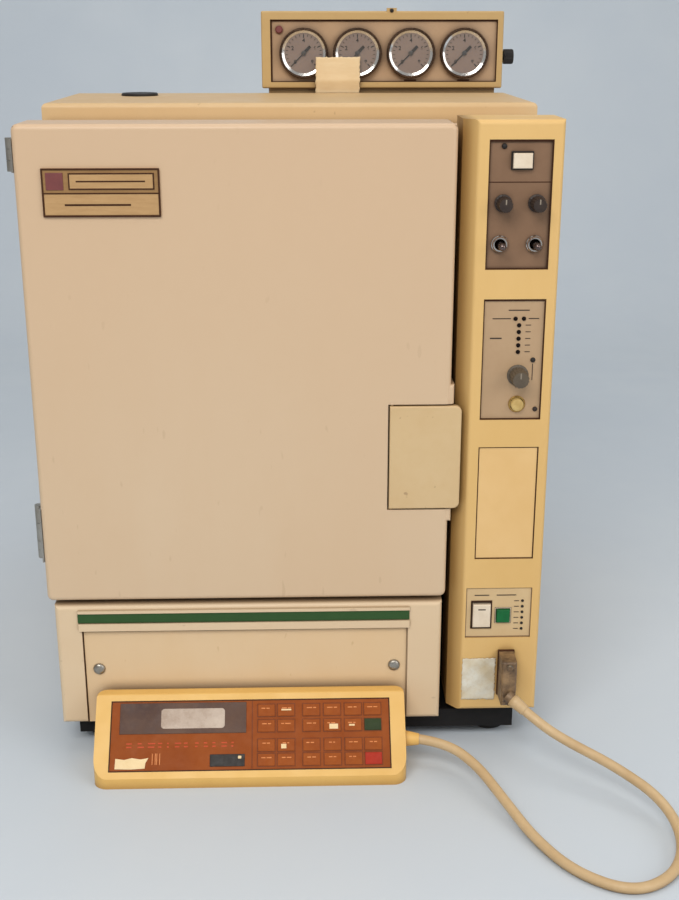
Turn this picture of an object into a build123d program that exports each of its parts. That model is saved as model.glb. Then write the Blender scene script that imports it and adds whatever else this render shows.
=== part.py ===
from build123d import *
import math
import os

# Bench-top gas chromatograph: an oven cabinet with a hinged door, a control column on its right,
# a box of pressure gauges on top, and a keyboard console that lies in front on its own cord.
# Millimetres, +X to the right, +Y to the back, +Z up. The origin is on the bench, under the middle
# of the object's box (cord and plug apart). Depths D are measured back from the door's front plane.

FRONT = -220.0          # Y of the door's front plane
CASE_X = 196.0          # outer half width of the sheet-metal casing
CASE_FRONT = 50.0       # depth of the casing's front edge
CASE_BACK = 480.0       # depth of the casing's rear face
CASE_BOTTOM = 27.0
DECK_TOP = 505.0
SHEET = 1.5             # sheet-metal gauge

DOOR_X = (-200.0, 122.0)
DOOR_Z = (138.4, 512.4)
DOOR_BACK = 43.0        # depth of the door shell's rear edge
HINGE_X, HINGE_D = -203.7, 14.0
KNUCKLE_R, HINGE_PIN_R = 3.3, 1.5
HINGE_SPANS = ((172.0, 217.0), (478.0, 502.0))

HANDLE_X = (74.7, 130.5)
HANDLE_Z = (216.0, 300.5)
HANDLE_PIVOT = (76.5, 2.2)
HANDLE_GAP = 1.2        # between the handle plate and its pocket

OVEN_X = (-166.0, 88.0)  # inside the liner
OVEN_Z = (174.0, 476.0)
OVEN_D = (52.0, 285.0)
LINER = 1.0
INSULATION = 26.0
OVEN_MID_X = (OVEN_X[0] + OVEN_X[1]) / 2
OVEN_MID_Z = (OVEN_Z[0] + OVEN_Z[1]) / 2
SHAFT_R = 4.0
SHAFT_HOLE_R = 7.0
PORT_AT, PORT_R = (-134.0, 228.0), 12.0
DETECTOR_AT, DETECTOR_R = (20.0, 190.0), 14.0

PANEL_X = (-195.0, 119.5)   # lower front panel
PANEL_Z = (27.0, 134.5)
DOCK_X = (-174.0, 92.0)     # shallow dock for the console
DOCK_TOP, DOCK_DEPTH = 111.5, 2.5

COLUMN_X = (126.4, 200.0)
COLUMN_Z = (34.2, 515.0)
COLUMN_FACE_X = 136.7       # the bevel ends here
BEVEL_DEPTH = 12.0
SLOT_X = (144.6, 191.9)
SLOT_HEIGHT, SLOT_PITCH = 95.0, 117.3
TOP_SLOT_Z = 406.0
POWER_X, POWER_Z = (139.0, 192.7), (101.3, 145.9)
MODULE_D = (2.5, 4.5)
POWER_D = (1.5, 3.5)

BUTTON_X, BUTTON_Z = (162.3, 176.4), (480.4, 491.4)
POTS = {"pot_knob_left": (156.5, 455.0), "pot_knob_right": (181.4, 455.0)}
TOGGLES = {"toggle_left": (155.0, 425.0), "toggle_right": (181.0, 425.0)}
RANGE_AT, ZERO_AT = (173.0, 324.0), (173.2, 301.0)
ROCKER_X, ROCKER_Z = (144.7, 159.2), (111.4, 131.8)
ROCKER_PIVOT_D = 5.0
GREEN_X, GREEN_Z = (164.4, 175.1), (115.3, 126.6)
SPINDLE_R, SPINDLE_FIT = 3.0, 0.05
TRAVEL_GAP = 0.4        # round a button that slides

HOOD_D = (110.0, 275.0)
HOOD_TOP = 520.8
GAUGE_X = (-27.5, 193.5)
GAUGE_Z = (524.7, 592.0)
GAUGE_D = (275.0, 340.0)
GAUGE_WINDOW_X, GAUGE_WINDOW_Z = (-19.3, 188.1), (530.2, 584.7)
GAUGE_PANEL_D = 279.0
GAUGE_CENTRES, GAUGE_MID_Z, GAUGE_R = (11.0, 60.0, 109.0, 158.0), 555.5, 21.9
REGULATOR_D, REGULATOR_Z = 300.0, 552.0

CONSOLE_X = (-163.0, 88.5)
CONSOLE_FRONT, CONSOLE_LIP = -57.0, 9.0
CONSOLE_TOP = (-12.0, 60.0)
CONSOLE_BACK = -2.0
CONSOLE_SKIN = 2.5
CONSOLE_CORNERS = (11.0, 8.0)   # of the front and the back upright edges
KEY_SHEET = (227.0, 57.0)
GLAND_EXIT = (88.5, -29.0, 25.5)

PLUG_X, PLUG_D, PLUG_Z = (167.5, 179.5), (-22.0, 0.0), (50.0, 89.5)
PLUG_GLAND = 16.0       # length of the plug's tapered gland
CORD_R = 4.0
# The route's corners from the console's gland to the plug's gland: X, depth, Z.
CORD_ROUTE = [
    (100.0, -30.5, 25.5), (122.0, -36.5, 25.0), (144.0, -61.0, 19.5), (160.0, -97.0, 12.0),
    (177.0, -138.0, 5.0), (200.0, -178.0, 4.0), (236.0, -201.0, 4.0), (270.0, -184.0, 4.4),
    (287.0, -148.0, 8.0), (280.0, -111.0, 18.5), (250.0, -79.0, 28.0), (215.0, -53.0, 36.0),
    (197.0, -40.0, 43.5), (184.0, -30.0, 52.0)]

REAR_OPENING_X = (-120.0, -40.0)
REAR_OPENINGS = {"exhaust_flap": (380.0, 440.0), "intake_flap": (200.0, 260.0)}
FLAP_PIN_R = 2.0
FLAP_PIN_D = 486.0
FITTINGS_X, FITTINGS_Z = (90.0, 122.0, 154.0), 430.0
FITTING_END = 497.0
TUBE_R = 1.5875         # 1/8 inch gas tube
INLET_X, INLET_Z = (118.0, 168.0), (70.0, 100.0)


def place(x, depth, z):
    return Pos(x, FRONT + depth, z)


def slab(x, depth, z):
    """A box between two X values, two depths and two heights."""
    middle = place(sum(x) / 2, sum(depth) / 2, sum(z) / 2)
    return middle * Box(x[1] - x[0], depth[1] - depth[0], z[1] - z[0])


def grow(span, by):
    return (span[0] - by, span[1] + by)


def rod_x(x, depth, z, radius):
    return place(sum(x) / 2, depth, z) * Rot(0, 90, 0) * Cylinder(radius, x[1] - x[0])


def rod_y(x, depth, z, radius):
    return place(x, sum(depth) / 2, z) * Rot(90, 0, 0) * Cylinder(radius, depth[1] - depth[0])


def rod_z(x, depth, z, radius):
    return place(x, depth, sum(z) / 2) * Cylinder(radius, z[1] - z[0])


def round_front(shape, radius):
    return fillet(shape.edges().group_by(Axis.Y)[0], radius)


def round_along(shape, axis, radius):
    return fillet(shape.edges().filter_by(axis), radius)


def group(solids):
    """Separate solids that share one node."""
    return Compound(children=[s for shape in solids for s in shape.solids()])


# --- cabinet ---------------------------------------------------------------------------------

def base_frame():
    plate = slab((-184, 184), (15, 470), (24, 26.8))
    frame = plate
    for x in ((-184, -150), (150, 184)):
        frame += slab(x, (15, 470), (10, 24))
    for depth in ((15, 35), (450, 470)):
        frame += slab((-150, 150), depth, (10, 24))
    return frame


def feet():
    return group([fillet(rod_z(x, d, (0, 10), 14).edges().group_by(Axis.Z)[0], 1.5)
                  for x in (-167, 167) for d in (40, 445)])


def side_panels():
    panels = []
    for side in (-1, 1):
        x = (CASE_X - SHEET, CASE_X) if side > 0 else (-CASE_X, -CASE_X + SHEET)
        panel = slab(x, (CASE_FRONT, CASE_BACK), (CASE_BOTTOM, DECK_TOP - SHEET))
        for row in range(6):
            z = 70 + 12 * row
            panel -= slab(grow(x, 1), (360, 450), (z, z + 3))
        panels.append(panel)
    return group(panels)


def rear_panel():
    inner = CASE_X - SHEET
    panel = slab((-inner, inner), (CASE_BACK - SHEET, CASE_BACK), (CASE_BOTTOM, DECK_TOP - SHEET))
    for z in REAR_OPENINGS.values():
        panel -= slab(REAR_OPENING_X, (CASE_BACK - 5, CASE_BACK + 5), z)
        for x in ((REAR_OPENING_X[0] - 14, REAR_OPENING_X[0] - 10),
                  (REAR_OPENING_X[1] + 10, REAR_OPENING_X[1] + 14)):
            ear = slab(x, (CASE_BACK, FLAP_PIN_D + 4.5), (z[1] + 2, z[1] + 11))
            panel += ear - rod_x(grow(x, 1), FLAP_PIN_D, z[1] + 6.5, FLAP_PIN_R + SPINDLE_FIT)
    panel -= slab(grow(INLET_X, -6), (CASE_BACK - 5, CASE_BACK + 5), grow(INLET_Z, -3))
    for x in FITTINGS_X:
        panel -= rod_y(x, (CASE_BACK - 5, CASE_BACK + 5), FITTINGS_Z, 5.0)
    for row in range(5):
        z = 150 + 12 * row
        panel -= slab((60, 160), (CASE_BACK - 5, CASE_BACK + 5), (z, z + 4))
    return panel


def deck_panel():
    deck = slab((-CASE_X, CASE_X), (CASE_FRONT, CASE_BACK), (DECK_TOP - SHEET, DECK_TOP))
    for (x, d), radius in ((PORT_AT, PORT_R), (DETECTOR_AT, DETECTOR_R)):
        deck -= rod_z(x, d, (DECK_TOP - 5, DECK_TOP + 5), radius + 1)
    return deck


def top_hood():
    hood = slab((-198, 198), HOOD_D, (DECK_TOP, HOOD_TOP))
    hood = fillet(hood.edges().group_by(Axis.Z)[-1], 4)
    hood -= slab((-196, 196), grow(HOOD_D, -2), (DECK_TOP - 5, HOOD_TOP - 2))
    return hood - rod_z(*PORT_AT, (DECK_TOP, HOOD_TOP + 5), 9.0)


def lower_front_panel():
    outer = round_front(slab(PANEL_X, (0, 48), PANEL_Z), 4)
    cavity = slab(grow(PANEL_X, -1.8), (1.8, 60), grow(PANEL_Z, -1.8))
    dock = slab(DOCK_X, (-5, DOCK_DEPTH), (0, DOCK_TOP))
    dock_walls = slab(grow(DOCK_X, 1.8), (-5, DOCK_DEPTH + 1.8), (0, DOCK_TOP + 1.8))
    panel = outer - (cavity - dock_walls) - dock
    for z in ((112.4, 118.9), (127.9, 130.4)):
        panel += slab((DOCK_X[0] - 2, DOCK_X[1] + 1), (-2.2, 1), z)
    for x in (-162, 81):
        panel -= rod_y(x, (0, 30), 76.5, 2.0)
    return panel


def screws():
    heads = []
    for x in (-162, 81):
        head = fillet(rod_y(x, (DOCK_DEPTH - 3.2, DOCK_DEPTH), 76.5, 5).edges().group_by(Axis.Y)[0], 1.5)
        heads.append(head + rod_y(x, (DOCK_DEPTH, 22), 76.5, 1.95))
    heads.append(rod_y(91, (273.5, GAUGE_D[0]), 592.4, 1.7))
    return group(heads)


# --- oven ------------------------------------------------------------------------------------

def oven_front_frame():
    frame = slab((-194, DOOR_X[1]), (CASE_FRONT, OVEN_D[0]), (137.5, DECK_TOP - SHEET))
    return frame - slab(OVEN_X, (40, 60), OVEN_Z)


def oven_openings():
    """Everything that goes through the oven's walls."""
    return [rod_y(OVEN_MID_X, (OVEN_D[1] - 10, 330), OVEN_MID_Z, SHAFT_HOLE_R),
            rod_z(*PORT_AT, (460, 520), PORT_R + 0.05),
            rod_z(*DETECTOR_AT, (460, 520), DETECTOR_R + 0.05)]


def oven_liner():
    liner = slab(grow(OVEN_X, LINER), (OVEN_D[0], OVEN_D[1] + LINER), grow(OVEN_Z, LINER))
    liner -= slab(OVEN_X, (OVEN_D[0] - 1, OVEN_D[1]), OVEN_Z)
    for hole in oven_openings():
        liner -= hole
    return liner


def oven_insulation():
    inner_x, inner_z = grow(OVEN_X, LINER), grow(OVEN_Z, LINER)
    outer_x, outer_z = grow(inner_x, INSULATION), grow(inner_z, INSULATION)
    front, back = OVEN_D[0], OVEN_D[1] + LINER
    slabs = [slab((outer_x[0], inner_x[0]), (front, back), inner_z),
             slab((inner_x[1], outer_x[1]), (front, back), inner_z),
             slab(outer_x, (front, back), (outer_z[0], inner_z[0])),
             slab(outer_x, (front, back), (inner_z[1], outer_z[1])),
             slab(outer_x, (back, back + INSULATION), outer_z)]
    for hole in oven_openings():
        slabs = [one - hole for one in slabs]
    return group(slabs)


def fan_baffle():
    baffle = slab(grow(OVEN_X, -22), (248, 249.5), grow(OVEN_Z, -26))
    baffle -= rod_y(OVEN_MID_X, (240, 260), OVEN_MID_Z, 34)
    for ring in (46, 58):
        for step in range(12):
            turn = math.radians(30 * step)
            baffle -= rod_y(OVEN_MID_X + ring * math.cos(turn), (240, 260),
                            OVEN_MID_Z + ring * math.sin(turn), 4)
    for x in grow(OVEN_X, -32):
        for z in grow(OVEN_Z, -36):
            baffle += rod_y(x, (249.5, OVEN_D[1]), z, 4)
    return baffle


def oven_fan():
    middle = place(OVEN_MID_X, 0, OVEN_MID_Z)
    fan = rod_y(OVEN_MID_X, (268, 270), OVEN_MID_Z, 58)
    fan += rod_y(OVEN_MID_X, (262, 274), OVEN_MID_Z, 10)
    for step in range(8):
        blade = middle * Rot(0, 45 * step, 0) * Pos(40, 262.5, 0) * Box(32, 11, 1.6)
        fan += blade
    return fan + rod_y(OVEN_MID_X, (270, 340), OVEN_MID_Z, SHAFT_R)


def fan_motor():
    back = OVEN_D[1] + LINER + INSULATION
    motor = fillet(rod_y(OVEN_MID_X, (back, back + 66), OVEN_MID_Z, 36).edges(), 3)
    motor += slab(grow((OVEN_MID_X, OVEN_MID_X), 46), (back, back + 3), grow((OVEN_MID_Z, OVEN_MID_Z), 30))
    return motor - rod_y(OVEN_MID_X, (back - 5, 342), OVEN_MID_Z, SHAFT_R + SPINDLE_FIT)


def heater_coil():
    coil = rod_y(OVEN_MID_X, (258, 266), OVEN_MID_Z, 84) - rod_y(OVEN_MID_X, (250, 270), OVEN_MID_Z, 76)
    coil = fillet(coil.edges(), 3)
    for side in (-1, 1):
        coil += rod_y(OVEN_MID_X + 80 * side, (262, OVEN_D[1]), OVEN_MID_Z, 3)
    return coil


def column_cage():
    z = OVEN_MID_Z
    cage = rod_z(OVEN_MID_X, 140, (z + 86, OVEN_Z[1]), 3)
    for depth in (122, 158):
        cage += place(OVEN_MID_X, depth, z) * Rot(90, 0, 0) * Torus(86, 2)
    for step in range(6):
        turn = math.radians(30 + 60 * step)
        cage += rod_y(OVEN_MID_X + 86 * math.cos(turn), (120, 160), z + 86 * math.sin(turn), 2.2)
    return cage + slab(grow((OVEN_MID_X, OVEN_MID_X), 5), (120, 160), (z + 84, z + 90))


def capillary_column():
    ring = rod_y(OVEN_MID_X, (130, 150), OVEN_MID_Z, 83.5)
    return ring - rod_y(OVEN_MID_X, (120, 160), OVEN_MID_Z, 79)


def injection_port():
    port = rod_z(*PORT_AT, (462, 514), PORT_R) + rod_z(*PORT_AT, (450, 462), 5)
    return port - rod_z(*PORT_AT, (440, 520), 1.0)


def port_cap():
    cap = rod_z(*PORT_AT, (HOOD_TOP, HOOD_TOP + 2.4), 16)
    cap = chamfer(cap.edges().group_by(Axis.Z)[-1], 1.0)
    cap += rod_z(*PORT_AT, (514, HOOD_TOP), 8.0)
    return cap - rod_z(*PORT_AT, (HOOD_TOP + 1, HOOD_TOP + 10), 1.2)


def detector():
    body = rod_z(*DETECTOR_AT, (466, 508), DETECTOR_R)
    return body + rod_z(*DETECTOR_AT, (508, 517), 9) + rod_z(*DETECTOR_AT, (452, 466), 5)


def flap(z):
    x = grow(REAR_OPENING_X, 5)
    lever = slab(x, (CASE_BACK + 0.5, CASE_BACK + 2.0), (z[0] - 5, z[1] + 5.5))
    lever += slab(x, (CASE_BACK + 0.5, FLAP_PIN_D), (z[1] + 4.5, z[1] + 8.5))
    return lever + rod_x(grow(REAR_OPENING_X, 14), FLAP_PIN_D, z[1] + 6.5, FLAP_PIN_R)


# --- services inside and behind --------------------------------------------------------------

def transformer():
    core = slab((-90, 10), (120, 190), (26.8, 110))
    core -= slab((-76, -50), (100, 210), (46, 92)) + slab((-30, -4), (100, 210), (46, 92))
    winding = slab((-74, -6), (108, 202), (48, 90)) - slab((-50, -30), (100, 210), (46, 92))
    return core + winding


def circuit_boards():
    boards = []
    for x in (140.0, 172.0):
        board = slab((x, x + 1.6), (70, 440), (60, 480))
        for row in range(5):
            for step in range(4):
                depth, z = 100 + 85 * step, 90 + 80 * row
                board += slab((x + 1.6, x + 8), (depth, depth + 40), (z, z + 16))
        boards.append(board)
    return group(boards)


def mains_inlet():
    flange = slab(INLET_X, (CASE_BACK, CASE_BACK + 3), INLET_Z)
    body = slab(grow(INLET_X, -11), (CASE_BACK - 22, CASE_BACK), grow(INLET_Z, -4))
    inlet = round_along(flange, Axis.Y, 3) + body
    inlet -= slab(grow(INLET_X, -13), (CASE_BACK - 18, CASE_BACK + 5), grow(INLET_Z, -6))
    for x in (-7, 0, 7):
        inlet += slab(grow((143 + x, 143 + x), 1), (CASE_BACK - 18, CASE_BACK - 8), (83, 87))
    return inlet


def gas_fittings():
    bodies = []
    for x in FITTINGS_X:
        middle = place(x, CASE_BACK + 3.5, FITTINGS_Z)
        nut = middle * Rot(90, 0, 0) * extrude(RegularPolygon(6.5, 6), 3.5, both=True)
        stub = rod_y(x, (CASE_BACK + 7, FITTING_END), FITTINGS_Z, TUBE_R)
        bodies.append(nut + stub + rod_y(x, (CASE_BACK - 12, CASE_BACK), FITTINGS_Z, 4.9))
    return group(bodies)


# --- gauge box -------------------------------------------------------------------------------

def gauge_box():
    box = fillet(slab(GAUGE_X, GAUGE_D, GAUGE_Z).edges(), 1.5)
    box -= slab(GAUGE_WINDOW_X, (GAUGE_D[0] - 5, GAUGE_PANEL_D), GAUGE_WINDOW_Z)
    box -= slab(grow(GAUGE_X, -2.5), (GAUGE_PANEL_D + 2, GAUGE_D[1] - 2), grow(GAUGE_Z, -2.5))
    for x in GAUGE_CENTRES:
        box -= rod_y(x, (GAUGE_D[0], GAUGE_PANEL_D + 5), GAUGE_MID_Z, GAUGE_R + 0.05)
    box -= rod_x((180, 200), REGULATOR_D, REGULATOR_Z, SPINDLE_R + SPINDLE_FIT)
    tab = slab((86.5, 95.5), (GAUGE_D[0], GAUGE_D[0] + 4), (591, 594.6))
    plinth = slab(grow(GAUGE_X, -6), grow(GAUGE_D, -6), (DECK_TOP, GAUGE_Z[0]))
    return box + tab + plinth


def gauge_case(x):
    case = rod_y(x, (272.5, 304), GAUGE_MID_Z, GAUGE_R)
    case = fillet(case.edges().group_by(Axis.Y)[0], 1.0)
    case -= rod_y(x, (270, 276.6), GAUGE_MID_Z, 20)
    return case - rod_y(x, (270, 285), GAUGE_MID_Z, 0.85)


def gauge_cases():
    return group([gauge_case(x) for x in GAUGE_CENTRES])


def gauge_glasses():
    return group([rod_y(x, (272.8, 274.0), GAUGE_MID_Z, 19.95) for x in GAUGE_CENTRES])


def needle(x):
    middle = place(x, 275.4, GAUGE_MID_Z)
    pointer = middle * Rot(0, -45, 0) * Pos(-7, 0, 0) * Box(16, 0.6, 0.9)
    tail = middle * Rot(0, -45, 0) * Pos(4.5, 0, 0) * Box(8, 0.6, 2.6)
    hub = rod_y(x, (274.9, 276.2), GAUGE_MID_Z, 1.8)
    return pointer + tail + hub + rod_y(x, (276, 282), GAUGE_MID_Z, 0.8)


def regulator_knob():
    knob = rod_x((197.6, 207.0), REGULATOR_D, REGULATOR_Z, 6.7)
    knob = chamfer(knob.edges().group_by(Axis.X)[-1], 0.8)
    return knob + rod_x((186, 197.6), REGULATOR_D, REGULATOR_Z, SPINDLE_R)


# --- oven door -------------------------------------------------------------------------------

def handle_pocket(wall=0.0):
    return slab((HANDLE_X[0] - HANDLE_GAP - wall, 135), (-5, 14 + wall), grow(HANDLE_Z, HANDLE_GAP + wall))


def door_shell():
    outer = slab(DOOR_X, (0, DOOR_BACK), DOOR_Z)
    outer = round_front(round_along(outer, Axis.Y, 5), 4)
    outer += round_front(slab((110, 124.6), (1, 30), (204, 317)), 2.5)
    cavity = slab(grow(DOOR_X, -1.6), (1.6, 60), grow(DOOR_Z, -1.6))
    shell = outer - (cavity - handle_pocket(1.6)) - handle_pocket()
    x, depth = HANDLE_PIVOT
    return shell - rod_z(x, depth, grow(HANDLE_Z, 11), HINGE_PIN_R + 0.06)


def door_insulation():
    return slab((-190, 112), (1.6, DOOR_BACK), (150, 500)) - handle_pocket(3.0)


def door_inner_plate():
    return slab(grow(DOOR_X, -1), (DOOR_BACK, DOOR_BACK + SHEET), grow(DOOR_Z, -1))


def door_gasket():
    front, back = DOOR_BACK + SHEET, CASE_FRONT - 0.5
    ring = slab(grow(OVEN_X, 14), (front, back), grow(OVEN_Z, 14))
    return ring - slab(grow(OVEN_X, 3), (40, 55), grow(OVEN_Z, 3))


def nameplate():
    return round_along(slab((-180, -94.5), (-1.2, 0), (446.5, 481.5)), Axis.Y, 1.5)


def knuckle(z):
    ring = rod_z(HINGE_X, HINGE_D, z, KNUCKLE_R)
    return ring - rod_z(HINGE_X, HINGE_D, grow(z, 1), HINGE_PIN_R + SPINDLE_FIT)


def hinge_thirds(z):
    third = (z[1] - z[0]) / 3
    return (z[0], z[0] + third - 0.3), (z[0] + third, z[1] - third), (z[1] - third + 0.3, z[1])


def door_hinges():
    leaves = []
    for z in HINGE_SPANS:
        low, _, high = hinge_thirds(z)
        leaf = slab((DOOR_X[0] - 1.4, DOOR_X[0]), (2.0, 9.5), z)
        for part in (low, high):
            leaf += slab((DOOR_X[0] - 1.4, DOOR_X[0] - 0.5), (9.0, HINGE_D), part)
            leaf += rod_z(HINGE_X, HINGE_D, part, KNUCKLE_R)
        leaf -= rod_z(HINGE_X, HINGE_D, grow(z, 1), HINGE_PIN_R + SPINDLE_FIT)
        leaves.append(leaf)
    return group(leaves)


def cabinet_hinges():
    straps = []
    for z in HINGE_SPANS:
        _, middle, _ = hinge_thirds(z)
        strap = slab((-203.2, -200.5), (HINGE_D, 84), middle)
        strap += slab((-203.2, -CASE_X), (54, 84), z)
        strap += rod_z(HINGE_X, HINGE_D, middle, KNUCKLE_R)
        straps.append(strap - rod_z(HINGE_X, HINGE_D, middle, HINGE_PIN_R))
    return group(straps)


def hinge_pins():
    return group([rod_z(HINGE_X, HINGE_D, z, HINGE_PIN_R) for z in HINGE_SPANS])


def door_handle():
    plate = slab(HANDLE_X, (-1.5, 3.5), HANDLE_Z)
    corners = plate.edges().filter_by(Axis.Y)
    plate = fillet(corners.group_by(Axis.X)[-1], 5)
    plate = round_front(plate, 1.2)
    x, depth = HANDLE_PIVOT
    rib = slab((x - 1.5, x + 3.5), (3.0, 7.0), grow(HANDLE_Z, -4))
    return plate + rib + rod_z(x, depth, grow(HANDLE_Z, HANDLE_GAP + 1.4), HINGE_PIN_R)


# --- control column --------------------------------------------------------------------------

def slot_z(row):
    low = TOP_SLOT_Z - SLOT_PITCH * row
    return low, low + SLOT_HEIGHT


def column_bezel():
    x0, x1 = COLUMN_X
    profile = [(x0, FRONT + CASE_FRONT), (x0, FRONT + BEVEL_DEPTH), (COLUMN_FACE_X, FRONT),
               (x1, FRONT), (x1, FRONT + CASE_FRONT)]
    height = COLUMN_Z[1] - COLUMN_Z[0]
    outer = Pos(0, 0, COLUMN_Z[0]) * extrude(make_face(Polyline(*profile, close=True)), height)
    outer = fillet(outer.edges().filter_by(GeomType.LINE).group_by(Axis.Y)[0], 3.5)
    inside = [(x0 + 3, FRONT + 60), (x0 + 3, FRONT + BEVEL_DEPTH + 4), (COLUMN_FACE_X + 1.5, FRONT + 5),
              (x1 - 3, FRONT + 5), (x1 - 3, FRONT + 60)]
    inner = extrude(make_face(Polyline(*inside, close=True)), height - 6)
    bezel = outer - Pos(0, 0, COLUMN_Z[0] + 3) * inner
    for row in range(3):
        bezel -= slab(SLOT_X, (-5, 8), slot_z(row))
    return bezel - slab(POWER_X, (-5, 8), POWER_Z)


def module_plate(row):
    return slab(grow(SLOT_X, -0.2), MODULE_D, grow(slot_z(row), -0.2))


def module_panels():
    upper = module_plate(0) - slab(grow(BUTTON_X, TRAVEL_GAP), (0, 9), grow(BUTTON_Z, TRAVEL_GAP))
    for x, z in POTS.values():
        upper -= rod_y(x, (0, 9), z, SPINDLE_R + SPINDLE_FIT)
    for x, z in TOGGLES.values():
        upper += rod_y(x, (-0.5, MODULE_D[0]), z, 6)
        upper -= rod_y(x, (-5, 9), z, 4)
    middle = module_plate(1) - rod_y(RANGE_AT[0], (0, 9), RANGE_AT[1], SPINDLE_R + SPINDLE_FIT)
    middle -= rod_y(ZERO_AT[0], (0, 9), ZERO_AT[1], 5.0 + TRAVEL_GAP)
    power = slab(grow(POWER_X, -0.2), POWER_D, grow(POWER_Z, -0.2))
    power += slab(grow(ROCKER_X, 2.6), (POWER_D[1], 11), grow(ROCKER_Z, 3.4))
    power -= slab(grow(ROCKER_X, TRAVEL_GAP), (-5, 20), grow(ROCKER_Z, 1.5))
    power -= rod_x(grow(ROCKER_X, 2.0), ROCKER_PIVOT_D, sum(ROCKER_Z) / 2, 1.0 + SPINDLE_FIT)
    power -= slab(grow(GREEN_X, TRAVEL_GAP), (0, 9), grow(GREEN_Z, TRAVEL_GAP))
    return group([upper, middle, power])


def blank_cover():
    return slab(grow(SLOT_X, -0.3), (1.0, 3.0), grow(slot_z(2), -0.3))


def push_button(x, z, front):
    key = slab(x, (front, 8), z)
    return fillet(key.edges().group_by(Axis.Y)[0], 0.8)


def round_button():
    button = rod_y(ZERO_AT[0], (-2.5, 8), ZERO_AT[1], 5.0)
    return fillet(button.edges().group_by(Axis.Y)[0], 0.8)


def panel_knob(at, radius, reach):
    x, z = at
    knob = rod_y(x, (-reach, 1.5), z, radius)
    knob = chamfer(knob.edges().group_by(Axis.Y)[0], 0.8)
    knob += rod_y(x, (1.5, 14), z, SPINDLE_R)
    return knob - slab(grow((x, x), 0.6), (-reach - 1, -reach + 0.6), (z, z + radius + 1))


def toggle(at):
    x, z = at
    lever = place(x, -4, z) * Rot(90, 0, 0) * Cone(1.9, 2.9, 17)
    return lever + place(x, 5.5, z) * Sphere(3.2) + place(x, -12.5, z) * Sphere(2.9)


def rocker():
    rib = fillet(slab(ROCKER_X, (-2, 9), ROCKER_Z).edges().group_by(Axis.Y)[0], 1.0)
    mid = sum(ROCKER_Z) / 2
    return rib + rod_x(grow(ROCKER_X, 1.8), ROCKER_PIVOT_D, mid, 1.0)


# --- keyboard console ------------------------------------------------------------------------

SLOPE_RUN = CONSOLE_TOP[0] - CONSOLE_FRONT
SLOPE_RISE = CONSOLE_TOP[1] - CONSOLE_LIP


def on_slope(size, depth_below, thickness):
    """A plate centred on the console's sloping face, from depth_below down into it."""
    tilt = math.degrees(math.atan2(SLOPE_RISE, SLOPE_RUN))
    depth, z = (CONSOLE_FRONT + CONSOLE_TOP[0]) / 2, (CONSOLE_LIP + CONSOLE_TOP[1]) / 2
    middle = place(sum(CONSOLE_X) / 2, depth, z)
    return middle * Rot(tilt, 0, 0) * Pos(0, 0, -depth_below - thickness / 2) * Box(*size, thickness)


def console_wedge():
    points = [(CONSOLE_FRONT, 0), (CONSOLE_FRONT, CONSOLE_LIP), CONSOLE_TOP,
              (CONSOLE_BACK, CONSOLE_TOP[1]), (CONSOLE_BACK, 0)]
    side = Plane(origin=(CONSOLE_X[0], FRONT, 0), x_dir=(0, 1, 0), z_dir=(1, 0, 0))
    width = CONSOLE_X[1] - CONSOLE_X[0]
    wedge = extrude(side * make_face(Polyline(*points, close=True)), width)
    for end, radius in zip((0, -1), CONSOLE_CORNERS):
        wedge = fillet(wedge.edges().filter_by(Axis.Z).group_by(Axis.Y)[end], radius)
    return fillet(wedge.edges().group_by(Axis.Z)[-1], 2)


def console_split():
    """The slab of the wedge that the bezel takes: everything nearer the sloping face than the skin."""
    return on_slope((400, 400), -50, 50 + 3.0)


def console_case():
    wedge = console_wedge() - console_split()
    inner = slab(grow(CONSOLE_X, -3), (CONSOLE_FRONT + 4, CONSOLE_BACK - CONSOLE_SKIN), (CONSOLE_SKIN, 56.5))
    wedge -= inner - on_slope((400, 400), -50, 50 + 5.5)
    return wedge + console_gland()


def console_bezel():
    bezel = console_wedge() & console_split()
    return bezel - on_slope(KEY_SHEET, -10, 11.2)


def key_sheet():
    return on_slope((KEY_SHEET[0] - 0.4, KEY_SHEET[1] - 0.4), 0.2, 1.0)


def console_gland():
    x, depth, z = GLAND_EXIT
    tip = Vector(*CORD_ROUTE[0])
    start = Vector(x, depth, z)
    run = tip - start
    plane = Plane(origin=(x, FRONT + depth, z), z_dir=run.normalized())
    return plane * (Pos(0, 0, run.length / 2) * Cone(6.5, 4.6, run.length)) - slab((60, x), (-50, 0), (0, 60))


# --- cord and plug ---------------------------------------------------------------------------

def route_points():
    return [Vector(x, FRONT + d, z) for x, d, z in CORD_ROUTE]


def cord_radii(points):
    radii = []
    for before, at, after in zip(points, points[1:], points[2:]):
        turn = (at - before).get_angle(after - at)
        shorter = min((at - before).length, (after - at).length)
        radii.append(0.45 * shorter / math.tan(math.radians(turn / 2)))
    return radii


def console_cord():
    points = route_points()
    radii = cord_radii(points)
    path = FilletPolyline(*points, radius=radii)
    start = Plane(origin=points[0], z_dir=points[1] - points[0])
    tube = sweep(start * Circle(CORD_R), path=path)
    print("cord length", round(path.length, 1), "radii", [round(r) for r in radii],
          "volume ratio", round(tube.volume / (math.pi * CORD_R ** 2 * path.length), 4))
    return tube


def cord_plug():
    hood = fillet(slab(PLUG_X, PLUG_D, PLUG_Z).edges().group_by(Axis.Y)[0], 2.0)
    points = route_points()
    tip, before = points[-1], points[-2]
    inward = (tip - before).normalized()
    gland = Plane(origin=tip, z_dir=inward) * (Pos(0, 0, PLUG_GLAND / 2) * Cone(4.3, 5.2, PLUG_GLAND))
    for z in grow(PLUG_Z, -4):
        hood += rod_y(sum(PLUG_X) / 2, (PLUG_D[0] - 3, PLUG_D[0] + 1), z, 2.0)
    return hood + gland


# --- every node ------------------------------------------------------------------------------

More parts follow.
